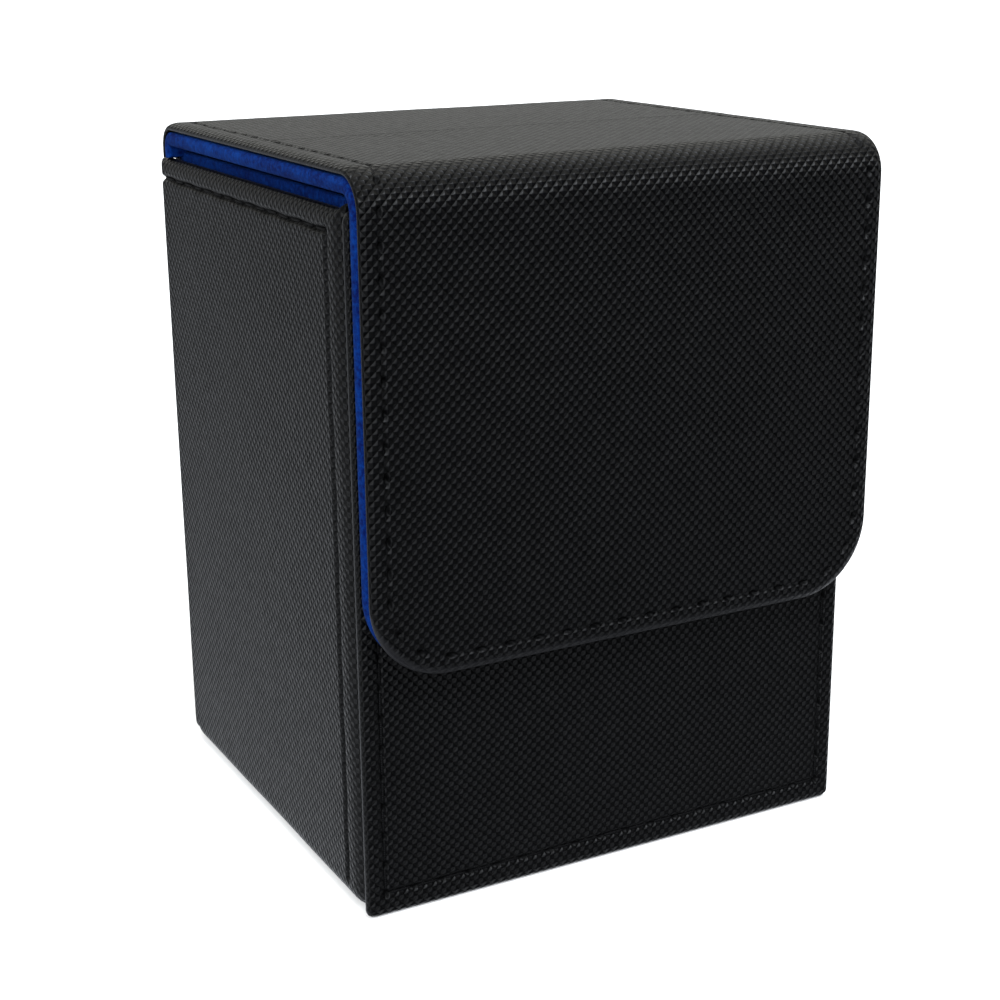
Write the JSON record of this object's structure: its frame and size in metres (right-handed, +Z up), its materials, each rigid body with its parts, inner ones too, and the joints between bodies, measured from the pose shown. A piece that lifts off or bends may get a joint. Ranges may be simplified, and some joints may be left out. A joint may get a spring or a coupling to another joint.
{
  "type": "card deck box",
  "caption": "Leather-covered deck box for sleeved trading cards, lined in blue cloth, with a lid and a magnetic front flap that open on leather folds.",
  "frame": {"origin": "bottom centre of the closed box's bounding box", "axes": "+Z up, -Y towards the flap side, -X to the left of someone who faces the flap"},
  "size_m": [0.0784, 0.0738, 0.1],
  "materials": {
    "body_leather": "satin",
    "strap_leather": "satin",
    "liner_cloth": "matte",
    "greyboard": "matte",
    "thread": "matte",
    "magnet_steel": "satin"
  },
  "bodies": {
    "box": {"wrap_leather": "body_leather", "front_leather": "body_leather", "back_leather": "body_leather", "left_board": "greyboard", "right_board": "greyboard", "bottom_board": "greyboard", "front_board": "greyboard", "back_board": "greyboard", "front_magnet_left": "magnet_steel", "front_magnet_right": "magnet_steel", "left_liner": "liner_cloth", "right_liner": "liner_cloth", "front_liner": "liner_cloth", "back_liner": "liner_cloth", "floor_liner": "liner_cloth", "left_stitching": "thread", "right_stitching": "thread", "front_stitching": "thread", "back_stitching": "thread", "rear_fold_leather": "strap_leather", "rear_fold_lining": "liner_cloth"},
    "lid": {"lid_leather": "strap_leather", "lid_lining": "liner_cloth", "lid_board": "greyboard", "lid_stitching_left": "thread", "lid_stitching_right": "thread"},
    "flap": {"flap_leather": "strap_leather", "flap_lining": "liner_cloth", "flap_board": "greyboard", "flap_stitching": "thread", "flap_magnet_left": "magnet_steel", "flap_magnet_right": "magnet_steel", "front_fold_leather": "strap_leather", "front_fold_lining": "liner_cloth"}
  },
  "joints": [
    {"name": "lid_hinge", "type": "hinge", "parent": "box", "child": "lid", "pos_m": [0.0001, 0.03493, 0.09918], "axis": [-1, 0, 0], "range_deg": [0, 175], "deforming": ["rear_fold_leather", "rear_fold_lining"]},
    {"name": "flap_hinge", "type": "hinge", "parent": "lid", "child": "flap", "pos_m": [0.0001, -0.03567, 0.09882], "axis": [-1, 0, 0], "range_deg": [0, 150], "deforming": ["front_fold_leather", "front_fold_lining"]}
  ]
}
